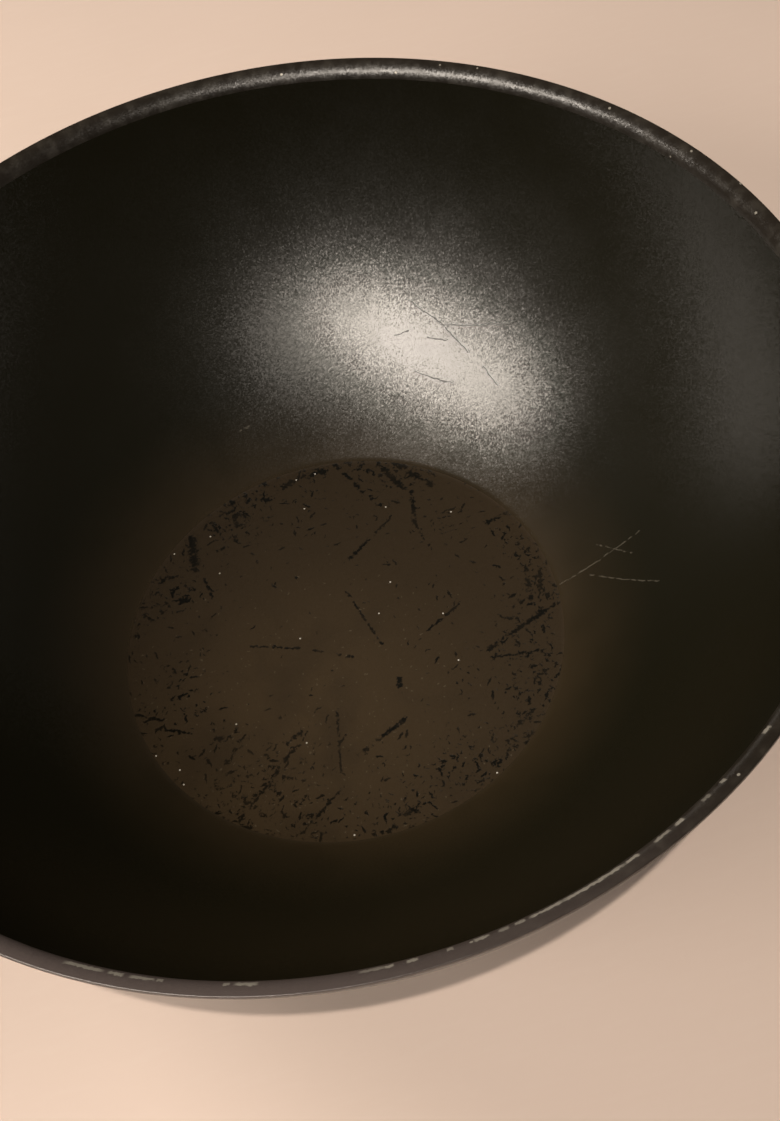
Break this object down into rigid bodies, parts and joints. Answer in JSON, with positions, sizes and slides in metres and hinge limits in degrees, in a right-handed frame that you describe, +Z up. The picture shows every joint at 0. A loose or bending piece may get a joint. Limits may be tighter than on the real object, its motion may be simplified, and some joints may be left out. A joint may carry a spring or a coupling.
{
  "type": "wok",
  "caption": "Round-walled, flat-based pan with a rolled-over lip, a dark non-stick lining and a long riveted handle with a hanging hole.",
  "frame": {"origin": "centre of the base disc's underside, where the wok stands on a flat surface", "axes": "+Z up along the shell's axis; the handle points along -X; the wok is the same on both sides of the XZ plane"},
  "size_m": [0.5232, 0.3, 0.146],
  "materials": {
    "nonstick_coating": "satin",
    "base_steel": "satin",
    "cast_aluminium": "satin",
    "rivet_aluminium": "satin",
    "guard_steel": "satin",
    "phenolic": "satin",
    "zinc_steel": "satin"
  },
  "bodies": {
    "root": {"pan_shell": "nonstick_coating", "base_disc": "base_steel", "handle_bracket": "cast_aluminium", "rivet_left": "rivet_aluminium", "rivet_right": "rivet_aluminium", "flame_guard": "guard_steel", "handle_grip": "phenolic", "screw_washer": "zinc_steel", "tie_screw": "zinc_steel"}
  },
  "joints": []
}
